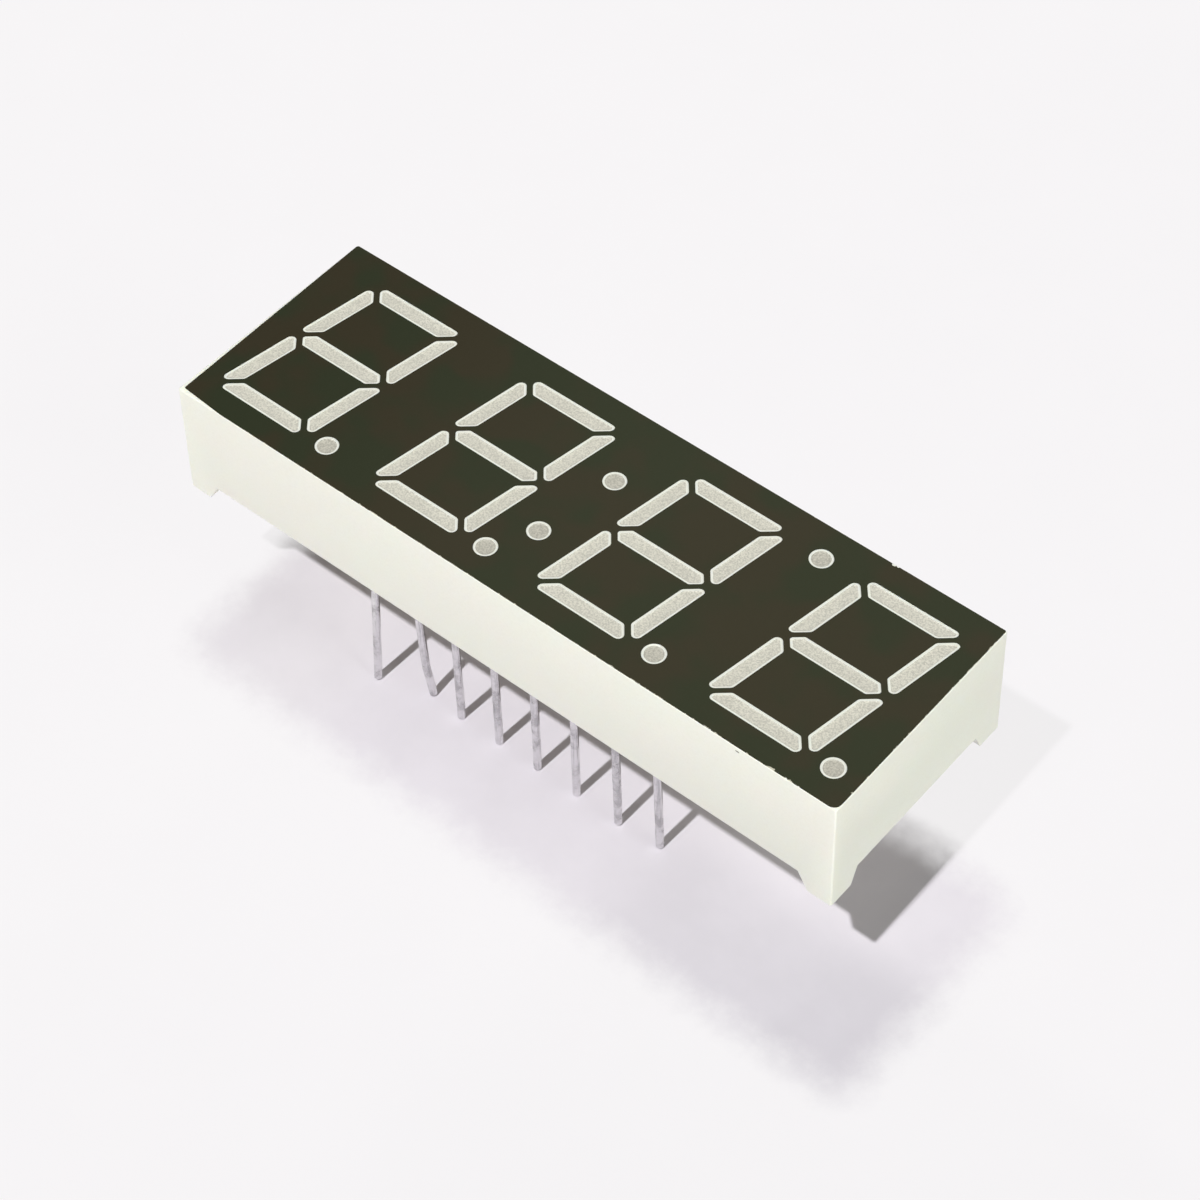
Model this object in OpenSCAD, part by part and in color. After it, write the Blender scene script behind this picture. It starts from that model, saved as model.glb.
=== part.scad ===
// Four-digit LED clock display with decimal points, a colon and one upper dot.
// It stands on its sixteen leads, and the face looks up (+Z).
// Origin: centre of the footprint, at the lead tips. +X runs along the digits as they are read,
// +Y runs towards the top of the digits. Millimetres throughout.

/* [Body] */
// Length of the printed face, along the row of digits
face_l = 40.2; // [39:0.1:42]
// Width of the printed face
face_w = 12.9; // [12.5:0.1:14]
// Height of the body, from the soles of the feet to the face
body_h = 7.15; // [7:0.05:9]
// How far each long wall leans out between the face and the soles
side_draft = 0.08; // [0:0.02:0.3]
// How far each end wall leans out between the face and the soles
end_draft = 0.16; // [0:0.02:0.3]
// Rounding between the face and the side walls
edge_r = 0.05; // [0.02:0.01:0.1]
// Radius of the upright corners
corner_r = 0.1; // [0.1:0.05:0.6]
// Thickness of the side walls around the circuit board
wall_t = 0.7; // [0.5:0.05:0.9]

/* [Feet] */
// Height of the corner feet below the side walls
foot_h = 1.05; // [0.4:0.05:1.3]
// Length of each sole along X
foot_l = 1.35; // [1:0.05:3]
// Width of each sole along Y
foot_w = 1.5; // [1:0.1:3]
// How far a foot's flank leans out on its way up, along X
flank_l = 0.6; // [0.1:0.02:0.8]
// How far a foot's flank leans out on its way up, along Y
flank_w = 0.46; // [0.1:0.02:0.8]

/* [Digits] */
// Distance from one digit to the next
digit_pitch = 10.16; // [10:0.02:10.4]
// Height of a digit
digit_h = 10.14; // [9:0.02:10.4]
// Width of a digit before it is slanted
digit_w = 6.12; // [5:0.02:6.4]
// Width of a segment
stroke = 0.94; // [0.7:0.02:1.1]
// Gap between neighbouring segments
segment_gap = 0.28; // [0.2:0.02:0.4]
// Slant of the digits, in degrees
slant = 9.64; // [0:0.02:12]
// Diameter of the round openings in the ink
dot_d = 1.2; // [0.9:0.05:1.3]
// White rim of the reflector that shows round each light pipe
rim = 0.12; // [0.04:0.01:0.14]

/* [Leads] */
// Diameter of a lead
pin_d = 0.42; // [0.4:0.02:0.6]
// Distance between neighbouring leads of a row
pin_pitch = 2.54; // [2.54:0.01:2.54]
// Distance between the two rows of leads
row_pitch = 10.16; // [10.1:0.02:10.2]
// Length of a straight lead below the soles of the feet
pin_out = 7.35; // [3:0.05:12]

/* [Layers] */
// Thickness of the printed ink
ink_t = 0.04; // [0.02:0.01:0.08]
// Depth of the reflector block, from the face to the circuit board
reflector_h = 4.4; // [3.5:0.1:4.6]
// Thickness of the circuit board
board_t = 0.8; // [0.6:0.1:1]
// Depth of the potting below the circuit board
potting_t = 0.5; // [0.45:0.05:0.6]

/* [Hidden] */
SEGMENTS = ["a", "b", "c", "d", "e", "f", "g"];
DIGITS = [1, 2, 3, 4];
PINS = [1, 2, 3, 4, 5, 6, 7, 8];

// Levels, from the lead tips upwards
sole_z = pin_out;
top_z = pin_out + body_h;
face_z = top_z - ink_t;
wall_z = sole_z + foot_h;
board_top_z = face_z - reflector_h;
board_z = board_top_z - board_t;
potting_z = board_z - potting_t;

// Footprints
body_l = face_l + 2 * edge_r;
body_w = face_w + 2 * edge_r;
outer_l = body_l + 2 * end_draft;
outer_w = body_w + 2 * side_draft;
recess_l = body_l - 2 * wall_t;
recess_w = body_w - 2 * wall_t;
recess_r = 0.4;
board_gap = 0.1;
board_r = 0.3;

// Segment geometry
half_w = digit_w / 2;
half_h = digit_h / 2;
digit_y = -0.04;
tip_r = 0.25;
bar_tip_r = 0.15;
arc_steps = 5;
cavity_taper = 0.5;
dot_taper = 0.75;
// Centres of the round openings, before they are slanted: beside a digit, and between digits
point_x = 4.18;
dot_y = 4.64;
colon_y = 2.325;
upper_dot_x = digit_pitch;

// Light sources under each opening
die_side = 0.3;
die_h = 0.22;
die_shift = 0.12;
wire_r = 0.04;
wire_span = 0.3;

// Leads and their joints: each lead is swaged square where it passes through the board
pin_r = pin_d / 2;
root_side = 0.9 * pin_d;
root_z = wall_z + 0.05;
hole_r = 0.4;
tip_chamfer = 0.06;
tip_lift = 0.035;
solder_r = 0.52;
solder_low_r = 0.36;
solder_h = 0.35;
meniscus_r = 0.62;
meniscus_low_r = 0.34;
bend_r = 1.2;
neck = 0.1;
// Leads of the front row that lean: [lead, length of the slope, lean on the slope, lean below it, heading]
leaning_leads = [
    [1, 1.9, 8.6, 4.6, -84],
    [7, 0.5, 4.5, 1.1, -15],
    [8, 0.5, 4.5, 1.1, 53]
];
// Lead of the front row that is bent near its foot: the length and lean of its upper part, then the turn
// of its lower part and the heading of that turn
bent_lead = 2;
bent_upper = 5.9;
bent_lean = 2.9;
bent_turn = 5.2;
bent_heading = 79;

// Corners of the ink, each [x, y, radius]. The print stops short of the front left corner of the face.
ink_short = [0.17, 0.2];
ink_short_l = 2.8;
ink_corners = [
    [face_l / 2, face_w / 2, 0.08], [-face_l / 2, face_w / 2, 0.15],
    [ink_short.x - face_l / 2, ink_short.y - face_w / 2, 0.06],
    [ink_short_l - face_l / 2, -face_w / 2, 0.8], [face_l / 2, -face_w / 2, 0.42]
];
// Small chips in the edge of the ink, each [x, y, radius]
ink_chips = [
    [13.80, 6.47, 0.13],
    [14.02, 6.48, 0.09],
    [13.10, -6.48, 0.07],
    [17.35, -6.49, 0.09],
    [18.05, -6.48, 0.06],
    [-7.40, -6.49, 0.06]
];

$fn = 48;

// ---------------------------------------------------------------- outlines

function unit(v) = v / norm(v);

// Points of the arc that rounds the corner b between its neighbours a and c
function corner_arc(a, b, c, r) =
    let (
        u = unit(a - b),
        v = unit(c - b),
        half = acos(u * v) / 2,
        centre = b + unit(u + v) * r / sin(half),
        p = b + u * r / tan(half) - centre,
        q = b + v * r / tan(half) - centre,
        from = atan2(p.y, p.x),
        turn = (atan2(q.y, q.x) - from + 540) % 360 - 180
    )
    [for (k = [0:arc_steps]) centre + r * [cos(from + turn * k / arc_steps), sin(from + turn * k / arc_steps)]];

// Outline whose corners, each [x, y, radius], are rounded
function rounded(corners) =
    let (
        n = len(corners),
        at = function (i) [corners[i % n].x, corners[i % n].y]
    )
    [for (i = [0:n - 1], p = corner_arc(at(i + n - 1), at(i), at(i + 1), corners[i].z)) p];

// A point of an upright digit, slanted
function slanted(p) = [p.x + tan(slant) * p.y, p.y];

// Mitre lines of an upright digit: x - y at its outer corners, and x + y at the middle bar's tips
corner_line = half_w - half_h;
bar_line = half_w - stroke / 2;

// Corners of the top bar, with every edge drawn in by d
function top_bar(d) =
    let (
        line = corner_line - (segment_gap / 2 + d) * sqrt(2),
        y_out = half_h - d,
        y_in = half_h - stroke + d,
        r = tip_r - d
    )
    [
        [y_out + line, y_out, r], [y_in + line, y_in, r],
        [-y_in - line, y_in, r], [-y_out - line, y_out, r]
    ];

// Corners of the upper right segment, with every edge drawn in by d
function upper_side(d) =
    let (
        line = corner_line + (segment_gap / 2 + d) * sqrt(2),
        low = bar_line + (segment_gap + d) * sqrt(2),
        x_out = half_w - d,
        x_in = half_w - stroke + d,
        r = tip_r - d
    )
    [
        [x_out, low - x_out, r], [x_out, x_out - line, r],
        [x_in, x_in - line, r], [x_in, low - x_in, r]
    ];

// Corners of the middle bar, with every edge drawn in by d
function middle_bar(d) =
    let (
        tip = bar_line - d * sqrt(2),
        y = stroke / 2 - d,
        r = bar_tip_r - d / 2
    )
    [
        [tip, 0, r], [tip - y, y, r], [y - tip, y, r],
        [-tip, 0, r], [y - tip, -y, r], [tip - y, -y, r]
    ];

// Corners turned over left to right (sx = -1) or top to bottom (sy = -1)
function turned(corners, sx, sy) = [for (c = corners) [c.x * sx, c.y * sy, c.z]];

function segment_corners(s, d) =
    s == "a" ? top_bar(d)
    : s == "b" ? upper_side(d)
    : s == "c" ? turned(upper_side(d), 1, -1)
    : s == "d" ? turned(top_bar(d), 1, -1)
    : s == "e" ? turned(upper_side(d), -1, -1)
    : s == "f" ? turned(upper_side(d), -1, 1)
    : middle_bar(d);

// Slanted outline of a segment about its digit's centre
function segment_outline(s, d) = [for (p = rounded(segment_corners(s, d))) slanted(p)];

// Height of the middle of a side segment above the middle bar
side_y = 2.42;

// Middle of a segment, before it is slanted
function segment_middle(s) =
    s == "a" ? [0, half_h - stroke / 2]
    : s == "b" ? [bar_line, side_y]
    : s == "c" ? [bar_line, -side_y]
    : s == "d" ? [0, stroke / 2 - half_h]
    : s == "e" ? [-bar_line, -side_y]
    : s == "f" ? [-bar_line, side_y]
    : [0, 0];

function is_bar(s) = s == "a" || s == "d" || s == "g";

// Angle of a segment's length, and so of its die, from the X axis
function segment_angle(s) = is_bar(s) ? 0 : 90 - slant;

// ---------------------------------------------------------------- places

function digit_centre(d) = [(d - 2.5) * digit_pitch, digit_y];
function segment_centre(d, s) = digit_centre(d) + slanted(segment_middle(s));
function point_centre(d) = digit_centre(d) + slanted([point_x, -dot_y]);
function row_centre() = [0, digit_y];
function colon_centre(side) = row_centre() + slanted([0, side * colon_y]);
function upper_dot_centre() = row_centre() + [upper_dot_x, 0] + slanted([0, dot_y]);

DOT_CENTRES = concat(
    [for (d = DIGITS) point_centre(d)],
    [colon_centre(1), colon_centre(-1), upper_dot_centre()]
);

function pin_place(row, p) = [(p - 4.5) * pin_pitch, row * row_pitch / 2];

PIN_PLACES = [for (row = [-1, 1], p = PINS) pin_place(row, p)];

// ---------------------------------------------------------------- shared shapes

module rounded_rect(l, w, r) {
    polygon(rounded([
        [l / 2, w / 2, r], [-l / 2, w / 2, r],
        [-l / 2, -w / 2, r], [l / 2, -w / 2, r]
    ]));
}

// Opening of a segment in the plane of the face, centred on its own middle
module segment_shape(s, d) {
    m = slanted(segment_middle(s));
    polygon([for (p = segment_outline(s, d)) p - m]);
}

// Light pipe of a segment: full size at the face, tapering down to the board
module segment_pipe(s) {
    mirror([0, 0, 1])
        linear_extrude(height = reflector_h, scale = cavity_taper)
            segment_shape(s, rim);
}

module dot_pipe() {
    r = dot_d / 2 - rim;
    translate([0, 0, -reflector_h])
        cylinder(h = reflector_h, r1 = r * dot_taper, r2 = r);
}

module die() {
    translate([-die_shift - die_side / 2, -die_side / 2, 0])
        cube([die_side, die_side, die_h]);
}

// Loop from the middle of the die, over and down to the board
module bond_wire() {
    translate([wire_span / 2 - die_shift, 0, die_h])
        rotate([90, 0, 0])
            rotate_extrude(angle = 180)
                translate([wire_span / 2, 0])
                    circle(r = wire_r, $fn = 24);
    translate([wire_span - die_shift, 0, 0])
        cylinder(h = die_h, r = wire_r, $fn = 24);
}

// Puts a child at every die on the board, turned along its segment
module at_dies() {
    for (d = DIGITS, s = SEGMENTS)
        translate(concat(segment_centre(d, s), board_top_z))
            rotate(segment_angle(s))
                children();
    for (c = DOT_CENTRES)
        translate(concat(c, board_top_z))
            children();
}

// Square root of a lead, from just below the potting up through the board
module pin_root() {
    translate([-root_side / 2, -root_side / 2, root_z])
        cube([root_side, root_side, board_top_z - root_z]);
}

// Solder in a lead's hole, with the fillet on the back of the board
module solder_body() {
    translate([0, 0, board_z - solder_h])
        cylinder(h = solder_h, r1 = solder_low_r, r2 = solder_r);
    translate([0, 0, board_z])
        cylinder(h = board_t, r = hole_r);
}

// Potting that has crept down a lead
module meniscus() {
    translate([0, 0, root_z])
        cylinder(h = potting_z - root_z, r1 = meniscus_low_r, r2 = meniscus_r);
}

// Straight stretch of a lead, downwards from the origin
module lead_stretch(l) {
    translate([0, 0, -l])
        cylinder(h = l, r = pin_r);
}

// Arc that turns a lead by a degrees towards the heading, and its children after the arc
module lead_bend(a, heading) {
    rotate(heading)
        translate([bend_r, 0, 0]) {
            rotate([90, 0, 0])
                rotate([0, 0, 180])
                    rotate_extrude(angle = a)
                        translate([bend_r, 0])
                            circle(r = pin_r);
            rotate([0, -a, 0])
                translate([-bend_r, 0, 0])
                    rotate(-heading)
                        children();
        }
}

// Last stretch of a lead, with its cut end
module lead_end(l) {
    lead_stretch(l - tip_chamfer);
    translate([0, 0, -l])
        cylinder(h = tip_chamfer, r1 = pin_r - tip_chamfer, r2 = pin_r);
}

// ---------------------------------------------------------------- sub-parts

// Outer form of the body: drafted sides, rounded upright corners and a softened face edge
module body_form() {
    slice = 0.01;
    hull() {
        for (a = [0:30:90])
            translate([0, 0, face_z - slice - edge_r * (1 - sin(a))])
                linear_extrude(height = slice)
                    rounded_rect(face_l + 2 * edge_r * cos(a), face_w + 2 * edge_r * cos(a), corner_r);
        translate([0, 0, sole_z])
            linear_extrude(height = slice)
                rounded_rect(outer_l, outer_w, corner_r);
    }
}

// Trapezoid that opens the gap between two feet, span wide between the soles
module foot_gap(span, depth, flank) {
    over = 1;
    slope = flank / foot_h;
    rotate([90, 0, 0])
        translate([0, 0, -depth / 2])
            linear_extrude(height = depth)
                polygon([
                    [-span / 2 - slope * over, -over], [span / 2 + slope * over, -over],
                    [span / 2 - flank, foot_h], [flank - span / 2, foot_h]
                ]);
}

module housing() {
    over = 1;
    color([0.93, 0.93, 0.89])
        difference() {
            body_form();
            // Recess for the board, from behind
            translate([0, 0, sole_z - over])
                linear_extrude(height = board_top_z - sole_z + over)
                    rounded_rect(recess_l, recess_w, recess_r);
            // Gaps between the feet
            translate([0, 0, sole_z])
                foot_gap(outer_l - 2 * foot_l, outer_w + 2 * over, flank_l);
            translate([0, 0, sole_z])
                rotate(90)
                    foot_gap(outer_w - 2 * foot_w, outer_l + 2 * over, flank_w);
            // Reflector cavities
            for (d = DIGITS, s = SEGMENTS)
                translate(concat(segment_centre(d, s), face_z))
                    segment_pipe(s);
            for (c = DOT_CENTRES)
                translate(concat(c, face_z))
                    dot_pipe();
        }
}

module face_ink() {
    color([0.24, 0.23, 0.19])
        translate([0, 0, face_z])
            linear_extrude(height = ink_t)
                difference() {
                    polygon(rounded(ink_corners));
                    for (d = DIGITS, s = SEGMENTS)
                        translate(segment_centre(d, s))
                            segment_shape(s, 0);
                    for (c = DOT_CENTRES)
                        translate(c)
                            circle(d = dot_d);
                    for (c = ink_chips)
                        translate([c.x, c.y])
                            circle(r = c.z, $fn = 16);
                }
}

// Light pipe of segment s in digit d, cast round its die and wire
module segment_window(d, s) {
    color([0.80, 0.80, 0.76])
        difference() {
            translate(concat(segment_centre(d, s), face_z))
                segment_pipe(s);
            translate(concat(segment_centre(d, s), board_top_z))
                rotate(segment_angle(s)) {
                    die();
                    bond_wire();
                }
        }
}

// Round light pipe at centre c, cast round its die and wire
module dot_window(c) {
    color([0.72, 0.72, 0.68])
        difference() {
            translate(concat(c, face_z))
                dot_pipe();
            translate(concat(c, board_top_z)) {
                die();
                bond_wire();
            }
        }
}

module circuit_board() {
    color([0.15, 0.38, 0.22])
        translate([0, 0, board_z])
            difference() {
                linear_extrude(height = board_t)
                    rounded_rect(recess_l - 2 * board_gap, recess_w - 2 * board_gap, board_r);
                for (p = PIN_PLACES)
                    translate(concat(p, -1))
                        cylinder(h = board_t + 2, r = hole_r);
            }
}

module led_dies() {
    color([0.55, 0.50, 0.25])
        at_dies() die();
}

module bond_wires() {
    color([0.85, 0.68, 0.25])
        at_dies() bond_wire();
}

module solder_joints() {
    color([0.70, 0.71, 0.72])
        for (p = PIN_PLACES)
            translate(p)
                difference() {
                    solder_body();
                    pin_root();
                }
}

module back_potting() {
    color([0.86, 0.85, 0.78])
        difference() {
            union() {
                translate([0, 0, potting_z])
                    linear_extrude(height = board_top_z - potting_z)
                        rounded_rect(recess_l, recess_w, recess_r);
                for (p = PIN_PLACES)
                    translate(p)
                        meniscus();
            }
            translate([0, 0, board_z])
                linear_extrude(height = board_t + 1)
                    rounded_rect(recess_l - 2 * board_gap, recess_w - 2 * board_gap, board_r);
            for (p = PIN_PLACES)
                translate(p) {
                    solder_body();
                    pin_root();
                }
        }
}

// Straight lead
module straight_pin(row, p) {
    color([0.72, 0.72, 0.74])
        translate(pin_place(row, p)) {
            pin_root();
            translate([0, 0, root_z])
                lead_end(root_z);
        }
}

// Front lead that leaves the body on a slope and then settles to a smaller lean
module leaning_pin(lead) {
    slope = lead[1];
    lean = lead[2];
    rest_lean = lead[3];
    heading = lead[4];
    drop = neck + slope * cos(lean) + bend_r * (2 * sin(lean) - sin(rest_lean));
    color([0.72, 0.72, 0.74])
        translate(pin_place(-1, lead[0])) {
            pin_root();
            translate([0, 0, root_z]) {
                lead_stretch(neck);
                translate([0, 0, -neck])
                    lead_bend(lean, heading) {
                        lead_stretch(slope);
                        translate([0, 0, -slope])
                            lead_bend(lean - rest_lean, heading + 180)
                                lead_end((root_z - drop - tip_lift) / cos(rest_lean));
                    }
            }
        }
}

// Front lead that leans along the row and turns away from it near its foot
module bent_pin() {
    upper_drop = neck + bend_r * sin(bent_lean) + bent_upper * cos(bent_lean);
    turn_drop = bend_r * sin(bent_turn) * cos(bent_lean);
    foot_drop = root_z - upper_drop - turn_drop - tip_lift;
    foot_cos = cos(bent_turn) * cos(bent_lean) - sin(bent_turn) * cos(bent_heading) * sin(bent_lean);
    color([0.72, 0.72, 0.74])
        translate(pin_place(-1, bent_lead)) {
            pin_root();
            translate([0, 0, root_z]) {
                lead_stretch(neck);
                translate([0, 0, -neck])
                    lead_bend(bent_lean, 0) {
                        lead_stretch(bent_upper);
                        translate([0, 0, -bent_upper])
                            lead_bend(bent_turn, bent_heading)
                                lead_end(foot_drop / foot_cos);
                    }
            }
        }
}

module front_pin(p) {
    leaning = [for (lead = leaning_leads) if (lead[0] == p) lead];
    if (len(leaning) > 0)
        leaning_pin(leaning[0]);
    else if (p == bent_lead)
        bent_pin();
    else
        straight_pin(-1, p);
}

module rear_pin(p) {
    straight_pin(1, p);
}

// ---------------------------------------------------------------- nodes

housing();
face_ink();
for (d = DIGITS, s = SEGMENTS)
    segment_window(d, s);
for (d = DIGITS)
    dot_window(point_centre(d));
dot_window(colon_centre(1));  // colon_upper
dot_window(colon_centre(-1));  // colon_lower
dot_window(upper_dot_centre());  // upper_dot
circuit_board();
led_dies();
bond_wires();
solder_joints();
back_potting();
for (p = PINS)
    front_pin(p);
for (p = PINS)
    rear_pin(p);
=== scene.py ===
"""A four-digit LED clock display that stands on its leads on a pale floor.

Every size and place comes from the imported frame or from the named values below. Lengths are in metres
unless a name says otherwise, and colours are linear.
"""

import math

import bmesh
import bpy
from mathutils import Matrix, Vector, noise
from mathutils.geometry import delaunay_2d_cdt


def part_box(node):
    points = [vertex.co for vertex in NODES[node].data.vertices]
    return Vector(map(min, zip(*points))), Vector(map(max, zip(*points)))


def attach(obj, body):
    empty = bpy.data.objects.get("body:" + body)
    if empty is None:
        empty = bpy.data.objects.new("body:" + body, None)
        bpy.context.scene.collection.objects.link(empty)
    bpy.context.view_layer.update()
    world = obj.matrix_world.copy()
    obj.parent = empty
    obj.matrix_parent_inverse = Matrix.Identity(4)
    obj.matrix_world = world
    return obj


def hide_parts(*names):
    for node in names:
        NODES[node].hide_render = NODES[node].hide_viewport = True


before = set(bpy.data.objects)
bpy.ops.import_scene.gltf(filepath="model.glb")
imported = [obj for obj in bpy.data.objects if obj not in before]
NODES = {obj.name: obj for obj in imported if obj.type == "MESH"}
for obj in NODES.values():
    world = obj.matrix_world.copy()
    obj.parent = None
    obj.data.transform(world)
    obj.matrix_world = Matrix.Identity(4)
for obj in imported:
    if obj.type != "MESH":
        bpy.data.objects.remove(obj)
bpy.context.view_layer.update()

MM = 0.001
WINDOW_WORDS = ("segment", "decimal_point", "colon", "upper_dot")
PIN_COUNT = 8

# Levels and places of the frame, in millimetres
HOUSING_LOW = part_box("housing")[0] / MM
INK_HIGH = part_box("face_ink")[1] / MM
POTTING_LOW, POTTING_HIGH = (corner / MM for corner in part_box("back_potting"))
BOARD_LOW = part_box("circuit_board")[0] / MM
SOLDER_LOW, SOLDER_HIGH = (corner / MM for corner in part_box("solder_joints"))
REAR_PIN_BOXES = [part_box(f"rear_pin_{number}") for number in range(1, PIN_COUNT + 1)]
REAR_PINS = [tuple((low + high) / 2 / MM) for low, high in REAR_PIN_BOXES]
PIN_PLACES = [(x, side * y) for side in (1, -1) for x, y, z in REAR_PINS]
FOOT_RISE = 1.05
WALL_Z = HOUSING_LOW.z + FOOT_RISE

# Angles between faces, in degrees: below the first they are one flat face, above the others an edge is
# rounded by the mould or stays sharp
FLAT_ANGLE = 0.3
ROUNDED_ANGLE = 25
SHARP_ANGLE = 35

# Details of the housing and the windows, in millimetres. Each step of the dish is its width and drop.
JOIN_DISTANCE = 0.0004
WALL_MARGIN = 0.02
MOULD_ROUNDING = 0.09
MOULD_ROUNDING_STEPS = 3
FACE_MARGIN = 0.001
DISH_STEPS = ((0.025, 0.014), (0.025, 0.009), (0.030, 0.005))

# The potting, in millimetres. Each climb is its height at the wall or lead, and its reach.
POTTING_Z = POTTING_LOW.z + 0.31
POTTING_STEP = 0.35
WALL_CLIMB = (0.22, 0.30)
PIN_CLIMB = (0.30, 0.22)
MOST_CLIMB = 0.30
WAVE_HEIGHT = 0.03
WAVES_PER_MM = 0.45
WAVE_SLICE = 3.0
WALL_INSETS = (0.06, 0.15, 0.28, 0.45)
PIN_RINGS = (0.34, 0.41, 0.51, 0.65, 0.84)
CLEAR_OF_WALL = 0.6
CLEAR_OF_PIN = 1.0
RECESS_RADIUS = 0.4
LEAST_CORNER_RADIUS = 0.05
CORNER_STEPS = 6
MERGE_DISTANCE = 1e-7

# The holes in the potting, in millimetres: square round a lead, and round about its solder
HOLE_SIDES = 16
ROOT_HALF = 0.189
SOLDER_RADIUS = SOLDER_HIGH.x - max(x for x, y in PIN_PLACES)
SOLDER_LOW_RADIUS = 0.36

# Fleck of ink on the front wall, in millimetres: its centre and radii in X and Z, and how deep it may lie
INK_FLECK = (14.7, 14.24)
INK_FLECK_RADII = (0.12, 0.05)
INK_FLECK_DEPTHS = (1.0, 0.5)

# Colours of the object's materials
PLASTIC_WARM = (0.915, 0.908, 0.810)
PLASTIC_COOL = (0.903, 0.916, 0.805)
PLASTIC_DULL = (0.82, 0.81, 0.70)
FLECK_TONE = (0.30, 0.29, 0.22)
# Ink with and without a painted sheen: the sheened tones are the lighter ones
INK_BROWN_PAINTED_SHEEN = (0.0385, 0.0340, 0.0198)
INK_GREEN_PAINTED_SHEEN = (0.0312, 0.0350, 0.0190)
INK_BROWN_UNSHEENED = (0.0276, 0.0227, 0.0113)
INK_GREEN_UNSHEENED = (0.0202, 0.0246, 0.0113)
INK_GRAIN = (0.085, 0.080, 0.060)
INK_WORN = (0.55, 0.53, 0.43)
SEGMENT_RESIN = ((0.715, 0.69, 0.60), (0.46, 0.445, 0.385))
DOT_RESIN = ((0.585, 0.56, 0.485), (0.345, 0.33, 0.28))
RESIN_CLOUD = 0.94
TIN_BRIGHT = (0.78, 0.77, 0.78)
TIN_DULL = (0.52, 0.51, 0.52)
TIN_STREAK = (0.34, 0.335, 0.345)
EPOXY_DARK = (0.66, 0.63, 0.50)
EPOXY_LIGHT = (0.74, 0.72, 0.61)
EPOXY_STAIN = (0.58, 0.55, 0.43)
BOARD_DARK = (0.015, 0.10, 0.035)
BOARD_LIGHT = (0.025, 0.14, 0.05)

# Plain metals: two tones, two finishes, and patches per millimetre
DIE_METAL = ((0.45, 0.40, 0.15), (0.30, 0.26, 0.10), 0.25, 0.4, 8.0)
GOLD = ((0.95, 0.70, 0.28), (0.85, 0.60, 0.22), 0.2, 0.3, 12.0)
SOLDER = ((0.66, 0.66, 0.67), (0.50, 0.50, 0.52), 0.25, 0.45, 3.0)

# The floor: its half width in metres, its tones from left to right, and their share in its clouds. The
# left tone is painted light, lighter where the housing shades the floor from the right fill, and the right
# tone is painted shade, darker before the right end. It goes from one tone to the next between these
# places in millimetres, and to the last one only in front.
FLOOR_HALF = 3.0
FLOOR_LEFT_PAINTED_LIGHT = (0.760, 0.727, 0.770)
FLOOR_MIDDLE_TONE = (0.735, 0.700, 0.756)
FLOOR_RIGHT_PAINTED_SHADE = (0.650, 0.621, 0.675)
FLOOR_CLOUD = 0.955
LEFT_TO_MIDDLE_X = (-13.0, -6.0)
MIDDLE_TO_RIGHT_X = (5.0, 14.0)
MIDDLE_TO_RIGHT_Y = (-2.0, -5.0)
BACKGROUND_TONE = (0.952, 0.937, 0.944)

# Parts of the floor that stay plain, each its low and high corner in millimetres: before the object, and
# hidden under it. Round them is a soft and slightly ragged border, where the floor goes over into the
# background. Beyond it the background's glow also lies over the object's shadow, up to its share: a
# painted light that fades the shadow to a faint trace.
PLAIN_PARTS = (((-16.5, -9.0), (22.8, 1.7)), ((-21.5, 1.5), (13.0, 14.0)))
BORDER_WIDTH = 3.2
BORDER_WANDER = 0.28
BACKGROUND_SHARE = 0.88

# The world's even light, and the lamps: name, direction of the light, level, width in degrees, colour
AMBIENT_LIGHT = 0.040
AMBIENT_TONE = (0.98, 1.0, 0.95)
WHITE = (1.0, 1.0, 1.0)
PALE_GREEN = (0.95, 1.0, 0.92)
LAMPS = (
    ("key", (0.024, 0.515, -1.0), 0.775, 1.6, WHITE),
    ("front_fill", (0.10, 1.0, -0.08), 0.0118, 20.0, WHITE),
    ("right_fill", (-0.80, -0.10, -0.57), 0.17, 30.0, PALE_GREEN),
    ("side_fill", (-1.0, 0.10, -0.08), 0.0202, 20.0, PALE_GREEN),
    ("back_fill", (0.45, -0.85, -0.26), 0.03, 40.0, WHITE),
)


# ---------------------------------------------------------------- materials


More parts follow.
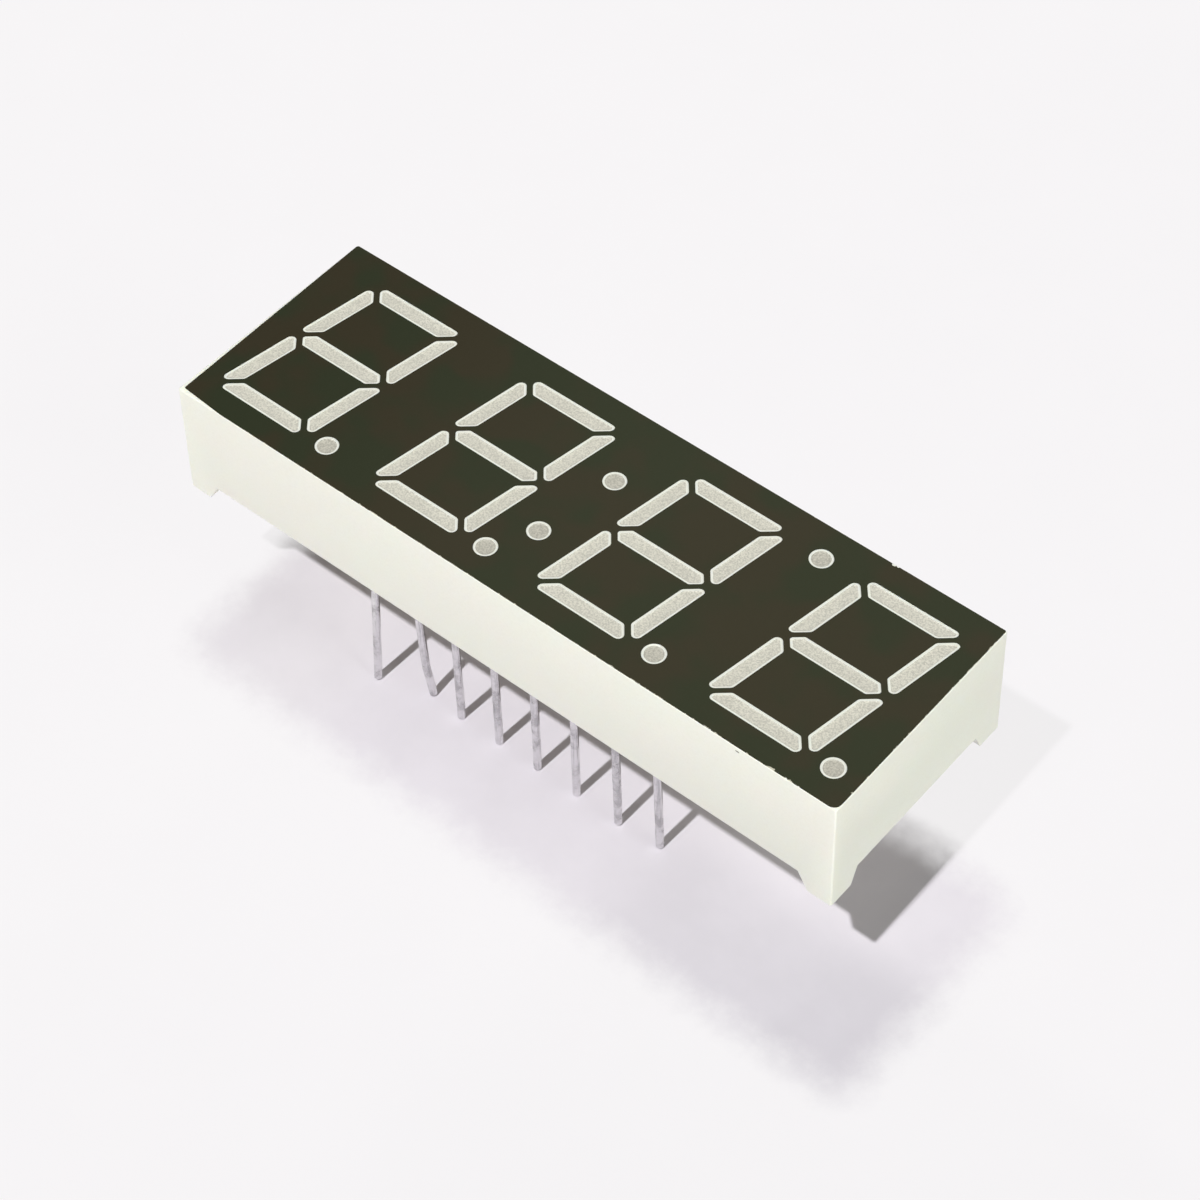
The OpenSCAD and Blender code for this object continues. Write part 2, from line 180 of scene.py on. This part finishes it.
class Paint:
    """A material's node tree, written as calls. Patterns are in millimetres."""

    def __init__(self, name):
        self.material = bpy.data.materials.new(name)
        self.material.use_nodes = True
        self.tree = self.material.node_tree
        self.shader = self.tree.nodes["Principled BSDF"]
        coordinates = self.tree.nodes.new("ShaderNodeTexCoord")
        self.place = self.math_vector("SCALE", coordinates.outputs["Object"], scale=1 / MM)

    def add(self, kind, inputs=(), **settings):
        """A node with its settings, and its inputs as pairs of name and value or socket."""
        node = self.tree.nodes.new("ShaderNode" + kind)
        for key, value in settings.items():
            setattr(node, key, value)
        for key, value in inputs:
            self.feed(node.inputs[key], value)
        return node

    def feed(self, socket, value):
        """Links another node's socket to this one, or sets this one's value."""
        if isinstance(value, bpy.types.NodeSocket):
            self.tree.links.new(value, socket)
        else:
            socket.default_value = value

    def set(self, **values):
        """Sets the shader's sockets. An underscore in a name stands for a space."""
        for key, value in values.items():
            self.feed(self.shader.inputs[key.replace("_", " ")], value)

    def math_vector(self, operation, vector, scale=1.0):
        node = self.add("VectorMath", operation=operation)
        self.feed(node.inputs[0], vector)
        self.feed(node.inputs["Scale"], scale)
        return node.outputs[0]

    def stretched(self, x, y, z):
        """The place with each axis scaled: a pattern is drawn out along an axis with a small scale."""
        node = self.add("Mapping", [("Vector", self.place), ("Scale", (x, y, z))])
        return node.outputs["Vector"]

    def noise(self, per_mm, detail=3.0, roughness=0.5, vector=None):
        """Noise between 0 and 1 with per_mm cells to a millimetre."""
        node = self.add("TexNoise", [
            ("Vector", vector or self.place),
            ("Scale", per_mm),
            ("Detail", detail),
            ("Roughness", roughness),
        ])
        return node.outputs["Fac"]

    def remap(self, value, from_low, from_high, to_low=0.0, to_high=1.0):
        """The value carried smoothly from one range to the other, and held at the ends."""
        node = self.add("MapRange", [
            ("Value", value),
            ("From Min", from_low),
            ("From Max", from_high),
            ("To Min", to_low),
            ("To Max", to_high),
        ], interpolation_type="SMOOTHSTEP")
        return node.outputs["Result"]

    def math(self, operation, *values):
        node = self.add("Math", operation=operation)
        for socket, value in zip(node.inputs, values):
            self.feed(socket, value)
        return node.outputs[0]

    def mix(self, share, low, high):
        """Colour between low and high by share."""
        node = self.add("Mix", data_type="RGBA")
        for index, value in ((0, share), (6, low), (7, high)):
            if isinstance(value, tuple):
                value = (*value, 1.0)
            self.feed(node.inputs[index], value)
        return node.outputs[2]

    def axes(self):
        """The place's X, Y and Z in millimetres."""
        node = self.add("SeparateXYZ", [("Vector", self.place)])
        return [node.outputs[axis] for axis in "XYZ"]

    def spot(self, place, centre, radii, wobble):
        """1 inside an ellipse with a wobbly edge, 0 outside. Place, centre and radii are in two axes."""
        parts = []
        for here, middle, radius in zip(place, centre, radii):
            offset = self.math("DIVIDE", self.math("SUBTRACT", here, middle), radius)
            parts.append(self.math("POWER", offset, 2.0))
        size = self.math("ADD", self.math("ADD", *parts), wobble)
        return self.remap(size, 1.7, 1.2)

    def bump(self, height, distance_mm, below=None):
        """Normal of a surface raised by the height, by up to distance_mm, on top of the bump below."""
        node = self.add("Bump", [
            ("Height", height),
            ("Distance", distance_mm * MM),
            ("Strength", 1.0),
        ])
        if below is not None:
            self.feed(node.inputs["Normal"], below)
        return node.outputs["Normal"]


def white_plastic():
    """White plastic of the housing: satin, faintly cloudy, with a fleck of ink on the front wall."""
    paint = Paint("white_plastic")
    x, y, z = paint.axes()
    cloud = paint.remap(paint.noise(0.22, 3.0), 0.38, 0.62)
    fine = paint.noise(9.0, 4.0, 0.6)
    colour = paint.mix(cloud, PLASTIC_WARM, PLASTIC_COOL)
    colour = paint.mix(paint.remap(fine, 0.35, 0.75, 0.0, 0.3), colour, PLASTIC_DULL)
    fleck = paint.spot((x, z), INK_FLECK, INK_FLECK_RADII, paint.noise(9.0, 2.0))
    on_front = paint.remap(y, *(HOUSING_LOW.y + depth for depth in INK_FLECK_DEPTHS))
    colour = paint.mix(paint.math("MULTIPLY", fleck, on_front), colour, FLECK_TONE)
    paint.set(
        Base_Color=colour,
        Roughness=paint.remap(paint.noise(1.2, 3.0), 0.3, 0.7, 0.38, 0.52),
        Subsurface_Weight=0.25,
        Subsurface_Scale=0.4 * MM,
        Specular_IOR_Level=0.35,
    )
    paint.shader.inputs["Subsurface Radius"].default_value = (1.0, 0.85, 0.6)
    waves = paint.bump(paint.noise(0.9, 2.0), 0.010)
    paint.set(Normal=paint.bump(fine, 0.003, below=waves))
    return paint.material


def printed_ink():
    """Matt dark ink: brown and green clouds, a painted sheen that lightens it towards the right end, fine
    grain, and an outer edge worn through in places.
    """
    paint = Paint("printed_ink")
    x, y, z = paint.axes()
    cloud = paint.remap(paint.noise(0.30, 2.0), 0.40, 0.60)
    grain = paint.noise(15.0, 3.0, 0.65)
    light = paint.mix(cloud, INK_BROWN_PAINTED_SHEEN, INK_GREEN_PAINTED_SHEEN)
    dark = paint.mix(cloud, INK_BROWN_UNSHEENED, INK_GREEN_UNSHEENED)
    # Painted sheen: the ink goes from the darker tones at the left end to the lighter ones towards the
    # right
    colour = paint.mix(paint.remap(x, -19.0, 3.0), dark, light)
    colour = paint.mix(paint.remap(grain, 0.55, 0.85, 0.0, 0.25), colour, INK_GRAIN)
    to_end = paint.math("SUBTRACT", INK_HIGH.x, paint.math("ABSOLUTE", x))
    to_side = paint.math("SUBTRACT", INK_HIGH.y, paint.math("ABSOLUTE", y))
    to_edge = paint.math("MINIMUM", to_end, to_side)
    to_right = paint.remap(x, 6.0, 14.0, 0.35, 1.0)
    to_front = paint.remap(y, 0.0, -4.0, 0.3, 1.0)
    rubbed = paint.math("MULTIPLY", to_right, to_front)
    ragged = paint.remap(paint.noise(2.2, 3.0, 0.6), 0.50, 0.80, -0.02, 0.15)
    reach = paint.math("MULTIPLY", ragged, rubbed)
    worn = paint.remap(paint.math("SUBTRACT", reach, to_edge), -0.015, 0.015)
    colour = paint.mix(worn, colour, INK_WORN)
    paint.set(
        Base_Color=colour,
        Roughness=paint.remap(grain, 0.3, 0.7, 0.52, 0.70),
        Specular_IOR_Level=0.08,
        Normal=paint.bump(grain, 0.005),
    )
    return paint.material


def cast_resin(name, light, dark):
    """Diffusing resin of a light pipe: fine dark grains of its filler in a faintly cloudy body."""
    paint = Paint(name)
    grain = paint.noise(11.0, 3.0, 0.75)
    cloud = paint.remap(paint.noise(0.8, 2.0), 0.35, 0.65)
    body = paint.mix(cloud, tuple(RESIN_CLOUD * tone for tone in light), light)
    colour = paint.mix(paint.remap(grain, 0.62, 0.36, 0.0, 0.9), body, dark)
    paint.set(
        Base_Color=colour,
        Roughness=paint.remap(grain, 0.3, 0.7, 0.34, 0.50),
        Specular_IOR_Level=0.4,
        Normal=paint.bump(grain, 0.010),
    )
    return paint.material


def tinned_wire():
    """Bright tin plating on a drawn wire: soft streaks along it, and dull patches."""
    paint = Paint("tinned_wire")
    streaks = paint.noise(6.0, 3.0, 0.6, paint.stretched(1.0, 1.0, 0.08))
    patches = paint.remap(paint.noise(0.9, 4.0, 0.65), 0.40, 0.64)
    colour = paint.mix(patches, TIN_BRIGHT, TIN_DULL)
    colour = paint.mix(paint.remap(streaks, 0.5, 0.75, 0.0, 0.7), colour, TIN_STREAK)
    paint.set(
        Base_Color=colour,
        Metallic=1.0,
        Roughness=paint.remap(patches, 0.0, 1.0, 0.16, 0.30),
        Normal=paint.bump(streaks, 0.006),
    )
    return paint.material


def potting_epoxy():
    """Cloudy cured epoxy over the back of the board."""
    paint = Paint("potting_epoxy")
    cloud = paint.remap(paint.noise(0.25, 4.0), 0.35, 0.65)
    fine = paint.noise(2.5, 4.0, 0.6)
    colour = paint.mix(cloud, EPOXY_DARK, EPOXY_LIGHT)
    colour = paint.mix(paint.remap(fine, 0.5, 0.8, 0.0, 0.4), colour, EPOXY_STAIN)
    paint.set(
        Base_Color=colour,
        Roughness=paint.remap(paint.noise(0.6, 3.0), 0.3, 0.7, 0.14, 0.26),
        Subsurface_Weight=0.3,
        Subsurface_Scale=0.5 * MM,
        Normal=paint.bump(fine, 0.008),
    )
    return paint.material


def solder_mask():
    """Green laminate with a fine glass weave."""
    paint = Paint("solder_mask")
    weave = paint.noise(3.0, 2.0, 0.5, paint.stretched(1.0, 0.3, 1.0))
    paint.set(
        Base_Color=paint.mix(weave, BOARD_DARK, BOARD_LIGHT),
        Roughness=0.4,
        Normal=paint.bump(weave, 0.01),
    )
    return paint.material


def metal(name, light, dark, rough_low, rough_high, per_mm):
    """Plain metal with patches of two tones and two finishes."""
    paint = Paint(name)
    patches = paint.noise(per_mm, 3.0, 0.6)
    paint.set(
        Base_Color=paint.mix(paint.remap(patches, 0.35, 0.65), dark, light),
        Metallic=1.0,
        Roughness=paint.remap(patches, 0.3, 0.7, rough_low, rough_high),
        Normal=paint.bump(patches, 0.004),
    )
    return paint.material


# ---------------------------------------------------------------- stage, lights and camera


def background_ray(tree):
    """1 for the rays that see the background: those of the camera, of gloss and of glass."""
    path = tree.nodes.new("ShaderNodeLightPath")
    seen = path.outputs["Is Camera Ray"]
    for kind in ("Is Glossy Ray", "Is Transmission Ray"):
        both = tree.nodes.new("ShaderNodeMath")
        both.operation = "MAXIMUM"
        tree.links.new(seen, both.inputs[0])
        tree.links.new(path.outputs[kind], both.inputs[1])
        seen = both.outputs[0]
    return seen


def beside(paint, low, high):
    """Distance from the rectangle between low and high, and 0 inside it."""
    squares = []
    for here, start, end in zip(paint.axes(), low, high):
        offset = paint.math("ABSOLUTE", paint.math("SUBTRACT", here, (start + end) / 2))
        outside = paint.math("MAXIMUM", paint.math("SUBTRACT", offset, (end - start) / 2), 0.0)
        squares.append(paint.math("POWER", outside, 2.0))
    return paint.math("SQRT", paint.math("ADD", *squares))


def floor_material():
    """The floor's tones, with painted light to the left and painted shade before the right end, its
    clouds, and the background's glow round its plain parts, which also lightens the object's shadow there.
    """
    paint = Paint("floor")
    x, y, z = paint.axes()
    # Painted light and shade: the floor is painted lighter towards the left and darker before the right
    # end
    to_middle = paint.remap(x, *LEFT_TO_MIDDLE_X)
    before = paint.remap(y, *MIDDLE_TO_RIGHT_Y)
    to_right = paint.math("MULTIPLY", paint.remap(x, *MIDDLE_TO_RIGHT_X), before)
    shades = []
    for share in (1.0, FLOOR_CLOUD):
        left, middle, right = (
            tuple(share * part for part in tone)
            for tone in (FLOOR_LEFT_PAINTED_LIGHT, FLOOR_MIDDLE_TONE, FLOOR_RIGHT_PAINTED_SHADE)
        )
        shades.append(paint.mix(to_right, paint.mix(to_middle, left, middle), right))
    cloud = paint.remap(paint.noise(0.12, 4.0, 0.6), 0.35, 0.65)
    colour = paint.mix(cloud, *shades)
    paint.set(Base_Color=colour, Roughness=1.0, Specular_IOR_Level=0.0)
    gaps = [beside(paint, low, high) for low, high in PLAIN_PARTS]
    wander = paint.remap(paint.noise(0.6, 4.0, 0.65), 0.3, 0.7, -BORDER_WANDER, BORDER_WANDER)
    gap = paint.math("ADD", paint.math("MINIMUM", *gaps), wander)
    # Painted light: beyond the border the glow covers the floor, and the object's shadow on it, up to the
    # background share
    far = paint.remap(gap, 0.0, BORDER_WIDTH, 0.0, BACKGROUND_SHARE)
    glow = paint.add("Emission", [("Color", (*BACKGROUND_TONE, 1.0)), ("Strength", 1.0)])
    either = paint.add("MixShader", [(0, paint.math("MULTIPLY", far, background_ray(paint.tree)))])
    paint.feed(either.inputs[1], paint.shader.outputs[0])
    paint.feed(either.inputs[2], glow.outputs[0])
    paint.feed(paint.tree.nodes["Material Output"].inputs["Surface"], either.outputs[0])
    return paint.material


def stage_floor():
    """Pale floor that keeps the object's shadow near it and passes into the background away from it, where
    the glow lightens the shadow as painted light.
    """
    mesh = bpy.data.meshes.new("floor")
    corners = [(x * FLOOR_HALF, y * FLOOR_HALF, 0) for x, y in ((-1, -1), (1, -1), (1, 1), (-1, 1))]
    mesh.from_pydata(corners, [], [(0, 1, 2, 3)])
    mesh.materials.append(floor_material())
    floor = bpy.data.objects.new("floor", mesh)
    bpy.context.collection.objects.link(floor)


def light_world():
    """Even light from all sides. The camera, gloss and glass see the pale background instead."""
    world = bpy.data.worlds.new("world")
    bpy.context.scene.world = world
    world.use_nodes = True
    nodes, links = world.node_tree.nodes, world.node_tree.links
    nodes.clear()
    soft = nodes.new("ShaderNodeBackground")
    soft.inputs["Color"].default_value = (*AMBIENT_TONE, 1.0)
    soft.inputs["Strength"].default_value = AMBIENT_LIGHT
    shown = nodes.new("ShaderNodeBackground")
    shown.inputs["Color"].default_value = (*BACKGROUND_TONE, 1.0)
    either = nodes.new("ShaderNodeMixShader")
    output = nodes.new("ShaderNodeOutputWorld")
    links.new(background_ray(world.node_tree), either.inputs[0])
    links.new(soft.outputs[0], either.inputs[1])
    links.new(shown.outputs[0], either.inputs[2])
    links.new(either.outputs[0], output.inputs[0])


def sun_lamp(name, direction, level_light, angle, colour):
    """Lamp whose light travels along direction and gives a level white surface level_light."""
    direction = Vector(direction).normalized()
    data = bpy.data.lights.new(name, "SUN")
    data.energy = level_light * math.pi / -direction.z
    data.angle = math.radians(angle)
    data.color = colour
    lamp = bpy.data.objects.new(name, data)
    lamp.rotation_euler = direction.to_track_quat("-Z", "Y").to_euler()
    bpy.context.collection.objects.link(lamp)


def make_camera(aim, azimuth, elevation, roll, distance, lens):
    """Camera that looks at aim. Azimuth 0 looks along +Y, 90 along -X. Angles in degrees, lens in mm."""
    around, above, turn = (math.radians(angle) for angle in (azimuth, elevation, roll))
    forward = Vector((
        -math.sin(around) * math.cos(above),
        math.cos(around) * math.cos(above),
        -math.sin(above),
    ))
    level = forward.cross(Vector((0, 0, 1))).normalized()
    upright = level.cross(forward)
    right = level * math.cos(turn) + upright * math.sin(turn)
    up = right.cross(forward)
    place = Matrix((right, up, -forward)).transposed().to_4x4()
    place.translation = Vector(aim) - forward * distance
    data = bpy.data.cameras.new("camera")
    data.lens = lens
    data.sensor_width = 36.0
    camera = bpy.data.objects.new("camera", data)
    camera.matrix_world = place
    bpy.context.collection.objects.link(camera)
    bpy.context.scene.camera = camera


# ---------------------------------------------------------------- shapes


def joined_copy(name):
    """A node's mesh to work on, with the corners that its faces share joined."""
    form = bmesh.new()
    form.from_mesh(NODES[name].data)
    bmesh.ops.remove_doubles(form, verts=form.verts, dist=JOIN_DISTANCE * MM)
    return form


def make_piece(name, form, material, replaced):
    """A piece from a worked mesh, smooth up to its sharp edges, that stands for the replaced nodes."""
    bmesh.ops.recalc_face_normals(form, faces=form.faces)
    mesh = bpy.data.meshes.new(name)
    form.to_mesh(mesh)
    form.free()
    mesh.shade_smooth()
    mesh.set_sharp_from_angle(angle=math.radians(SHARP_ANGLE))
    mesh.materials.append(material)
    piece = bpy.data.objects.new(name, mesh)
    bpy.context.collection.objects.link(piece)
    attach(piece, "root")
    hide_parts(*replaced)


def soft_housing(material):
    """The housing with the edges of its walls and feet rounded as they leave the mould."""
    form = joined_copy("housing")
    flat = math.radians(FLAT_ANGLE)
    bmesh.ops.dissolve_limit(form, angle_limit=flat, verts=form.verts, edges=form.edges)
    top = (WALL_Z + WALL_MARGIN) * MM
    edges = [
        edge for edge in form.edges
        if all(vert.co.z < top for vert in edge.verts)
        and len(edge.link_faces) == 2
        and edge.calc_face_angle() > math.radians(ROUNDED_ANGLE)
    ]
    bmesh.ops.bevel(
        form,
        geom=edges,
        offset=MOULD_ROUNDING * MM,
        segments=MOULD_ROUNDING_STEPS,
        profile=0.5,
        affect="EDGES",
        clamp_overlap=True,
    )
    make_piece("housing_soft_edges", form, material, ["housing"])


def dished_window(name, material):
    """A light pipe whose resin has sunk a little below its rim as it cured."""
    form = joined_copy(name)
    top = max(vert.co.z for vert in form.verts)
    low = top - FACE_MARGIN * MM
    caps = [face for face in form.faces if all(vert.co.z > low for vert in face.verts)]
    cap = bmesh.ops.dissolve_faces(form, faces=caps)["region"]
    for width, sink in DISH_STEPS:
        bmesh.ops.inset_region(
            form,
            faces=cap,
            thickness=width * MM,
            depth=-sink * MM,
            use_even_offset=True,
        )
    bmesh.ops.triangulate(form, faces=cap)
    make_piece(name + "_dished", form, material, [name])


def ring(centre, radius, count):
    """Points of a circle."""
    bearings = [k * math.tau / count for k in range(count)]
    return [(centre[0] + radius * math.cos(a), centre[1] + radius * math.sin(a)) for a in bearings]


def square_ring(centre, half, count):
    """Points of a square at the same bearings as those of a circle."""
    points = []
    for x, y in ring((0, 0), 1.0, count):
        reach = half / max(abs(x), abs(y))
        points.append((centre[0] + reach * x, centre[1] + reach * y))
    return points


def rounded_outline(half_x, half_y, radius):
    """Points of a rounded rectangle, counterclockwise."""
    points = []
    for quarter, (sx, sy) in enumerate(((1, 1), (-1, 1), (-1, -1), (1, -1))):
        for k in range(CORNER_STEPS + 1):
            turn = (quarter + k / CORNER_STEPS) * math.pi / 2
            points.append((
                sx * (half_x - radius) + radius * math.cos(turn),
                sy * (half_y - radius) + radius * math.sin(turn),
            ))
    return points


def spread(points, step):
    """A closed outline with points added so that none are farther apart than step."""
    dense = []
    for here, there in zip(points, points[1:] + points[:1]):
        count = max(1, math.ceil(math.dist(here, there) / step))
        for k in range(count):
            dense.append(tuple(a + (b - a) * k / count for a, b in zip(here, there)))
    return dense


def to_wall(x, y):
    """Distance from the wall of the recess, negative beyond it."""
    return min(POTTING_HIGH.x - abs(x), POTTING_HIGH.y - abs(y))


def to_pin(x, y):
    """Distance from the middle of the nearest lead."""
    return min(math.dist((x, y), place) for place in PIN_PLACES)


def climb(distance, height, reach):
    """How far the potting has climbed at a distance from a wall or lead."""
    return height * math.exp(-max(0.0, distance) / reach)


def potting_height(x, y):
    """Level of the potting's free face: it climbs the walls and the leads, and is a little uneven."""
    both = climb(to_wall(x, y), *WALL_CLIMB) + climb(to_pin(x, y) - ROOT_HALF, *PIN_CLIMB)
    wave = WAVE_HEIGHT * noise.noise(Vector((x * WAVES_PER_MM, y * WAVES_PER_MM, WAVE_SLICE)))
    return max(POTTING_LOW.z, POTTING_Z - min(both, MOST_CLIMB) + wave)


def is_inside(point, loop):
    """Whether a point lies inside a convex outline that runs counterclockwise."""
    px, py = point
    sides = zip(loop, loop[1:] + loop[:1])
    return all((bx - ax) * (py - ay) > (by - ay) * (px - ax) for (ax, ay), (bx, by) in sides)


def filled_sheet(form, loops, inner, level, flipped):
    """Triangles between an outline, the first loop, and its holes, the others, through the inner points.

    Adds them to the form at the level of each place, and returns the points of each loop.
    """
    points = [Vector(point) for group in (*loops, inner) for point in group]
    edges, starts = [], []
    for loop in loops:
        start = starts[-1][1] if starts else 0
        starts.append((start, start + len(loop)))
        edges += [(start + k, start + (k + 1) % len(loop)) for k in range(len(loop))]
    places, _, faces, sources, *_ = delaunay_2d_cdt(points, edges, [], 1, MERGE_DISTANCE)
    made = [form.verts.new((*(place * MM), level(*place) * MM)) for place in places]
    vert_of = {source: vert for vert, group in zip(made, sources) for source in group}
    for face in faces:
        centre = sum((places[k] for k in face), Vector((0, 0))) / len(face)
        if not any(is_inside(centre, hole) for hole in loops[1:]):
            form.faces.new([made[k] for k in (reversed(face) if flipped else face)])
    return [[vert_of[k] for k in range(*span)] for span in starts]


def wall_between(form, low, high):
    """Faces between two closed loops with the same number of points."""
    for k in range(len(low)):
        after = (k + 1) % len(low)
        form.faces.new((low[k], low[after], high[after], high[k]))


def recess_outline(inset):
    """The outline of the recess, moved inwards by inset."""
    radius = max(RECESS_RADIUS - inset, LEAST_CORNER_RADIUS)
    return spread(rounded_outline(POTTING_HIGH.x - inset, POTTING_HIGH.y - inset, radius), POTTING_STEP)


def inner_points():
    """Points of the potting's free face: closer together by its walls and leads, where it climbs."""
    points = []
    for inset in WALL_INSETS:
        points += recess_outline(inset)
    for place in PIN_PLACES:
        for radius in PIN_RINGS:
            points += ring(place, radius, HOLE_SIDES)
    for i in range(math.ceil(2 * POTTING_HIGH.x / POTTING_STEP)):
        for j in range(math.ceil(2 * POTTING_HIGH.y / POTTING_STEP)):
            x = POTTING_LOW.x + POTTING_STEP * (i + 0.5 * (j % 2))
            y = POTTING_LOW.y + POTTING_STEP * j
            if to_wall(x, y) > CLEAR_OF_WALL and to_pin(x, y) > CLEAR_OF_PIN:
                points.append((x, y))
    return points


def potting_layer(material):
    """Potting behind the board: its free face, and stepped holes round the leads and their solder."""
    outline = recess_outline(0.0)
    root_holes = [square_ring(place, ROOT_HALF, HOLE_SIDES) for place in PIN_PLACES]
    solder_holes = [ring(place, SOLDER_RADIUS, HOLE_SIDES) for place in PIN_PLACES]
    form = bmesh.new()
    free_loops = filled_sheet(form, [outline] + root_holes, inner_points(), potting_height, True)
    board_loops = filled_sheet(form, [outline] + solder_holes, [], lambda x, y: BOARD_LOW.z, False)
    wall_between(form, free_loops[0], board_loops[0])
    holes = zip(PIN_PLACES, root_holes, free_loops[1:], board_loops[1:])
    for place, root_hole, low, high in holes:
        for points in (root_hole, ring(place, SOLDER_LOW_RADIUS, HOLE_SIDES)):
            middle = [form.verts.new((x * MM, y * MM, SOLDER_LOW.z * MM)) for x, y in points]
            wall_between(form, middle, low)
            low = middle
        wall_between(form, high, low)
    make_piece("back_potting_poured", form, material, ["back_potting"])


# ---------------------------------------------------------------- the object


def assign(names, material):
    """Gives the carried-over nodes their material."""
    for name in names:
        data = NODES[name].data
        data.materials.clear()
        data.materials.append(material)


def names_with(*words):
    """Names of the nodes whose name holds one of the words, in order."""
    return [name for name in sorted(NODES) if any(word in name for word in words)]


make_camera(
    aim=(2.61 * MM, -1.56 * MM, 10.9 * MM),
    azimuth=40.892,
    elevation=50.477,
    roll=-1.428,
    distance=142.16 * MM,
    lens=89.61,
)

soft_housing(white_plastic())
assign(["face_ink"], printed_ink())
resins = {
    "segment_resin": cast_resin("segment_resin", *SEGMENT_RESIN),
    "dot_resin": cast_resin("dot_resin", *DOT_RESIN),
}
for window in names_with(*WINDOW_WORDS):
    slot = "segment_resin" if "segment" in window else "dot_resin"
    dished_window(window, resins[slot])
potting_layer(potting_epoxy())
assign(["circuit_board"], solder_mask())
assign(["led_dies"], metal("led_die", *DIE_METAL))
assign(["bond_wires"], metal("gold_wire", *GOLD))
assign(["solder_joints"], metal("solder", *SOLDER))
assign(names_with("front_pin", "rear_pin"), tinned_wire())

stage_floor()
light_world()
for lamp in LAMPS:
    sun_lamp(*lamp)

bpy.context.scene.view_settings.view_transform = "Standard"
